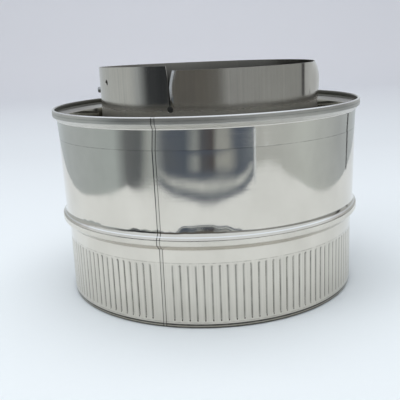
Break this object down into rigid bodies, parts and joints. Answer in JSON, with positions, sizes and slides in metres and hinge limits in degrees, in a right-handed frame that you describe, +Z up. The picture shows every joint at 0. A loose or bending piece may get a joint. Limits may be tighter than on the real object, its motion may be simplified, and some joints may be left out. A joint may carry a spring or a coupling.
{
  "type": "double-wall flue adapter",
  "caption": "Short round double-wall stove pipe adapter: polished steel casing with rolled rim, stop bead and fluted spigot, wool lining and a slit inner flue collar standing proud.",
  "frame": {"origin": "middle of the casing's foot, on the surface that the part stands on", "axes": "+Z up along the casing's axis, from the fluted spigot to the collar; -Y towards the weld seam and the slit"},
  "size_m": [0.1856, 0.1856, 0.1345],
  "materials": {
    "casing_steel": "bright annealed stainless sheet, mirror-like with rolling waviness",
    "flue_steel": "bright annealed stainless sheet with fine vertical rolling lines",
    "mineral_wool": "matt matted fibre",
    "ring_steel": "satin stainless sheet",
    "rivet_steel": "dull dark steel"
  },
  "bodies": {
    "root": {"outer_casing": "casing_steel", "inner_flue": "flue_steel", "insulation_sleeve": "mineral_wool", "upper_closing_ring": "ring_steel", "lower_closing_ring": "ring_steel", "collar_rivet": "rivet_steel"}
  },
  "joints": []
}
